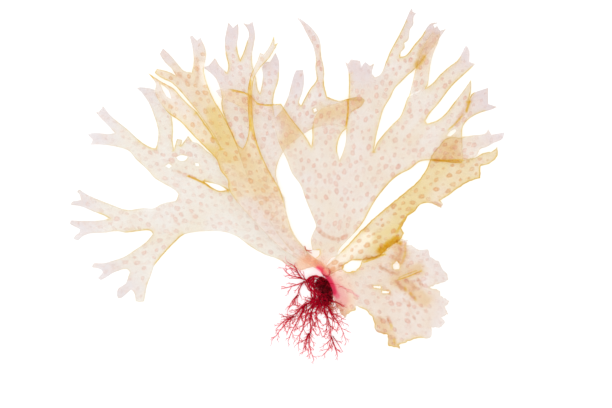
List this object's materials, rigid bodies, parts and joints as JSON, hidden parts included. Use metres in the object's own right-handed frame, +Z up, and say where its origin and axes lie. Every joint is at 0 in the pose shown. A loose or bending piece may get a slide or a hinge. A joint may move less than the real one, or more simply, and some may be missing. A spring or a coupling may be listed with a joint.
{
  "type": "spotted scarf weed",
  "caption": "Leafy red seaweed laid flat: thin forked translucent fronds with small oval spots fan out from a short stipe, with a tuft of fine crimson threads at its foot.",
  "frame": {"origin": "under the stipe, in the middle of its flat foot, on the surface that the plant lies on", "axes": "+Y runs up the fan of fronds, +X is to the right of it, +Z is up from the surface"},
  "size_m": [0.1736, 0.1445, 0.0055],
  "materials": {
    "pale_membrane": "thin translucent membrane, pale pinkish cream with pinkish brown spots",
    "yellow_membrane": "thin translucent membrane, yellowish with ochre margins and pinkish spots",
    "crimson_stipe": "smooth and moist",
    "crimson_threads": "fine moist threads"
  },
  "bodies": {
    "root": {"frond_left": "pale_membrane", "frond_right": "yellow_membrane", "frond_low_right": "pale_membrane", "frond_back": "pale_membrane", "frond_middle": "pale_membrane", "frond_front": "yellow_membrane", "stipe": "crimson_stipe", "red_tuft": "crimson_threads"}
  },
  "joints": []
}
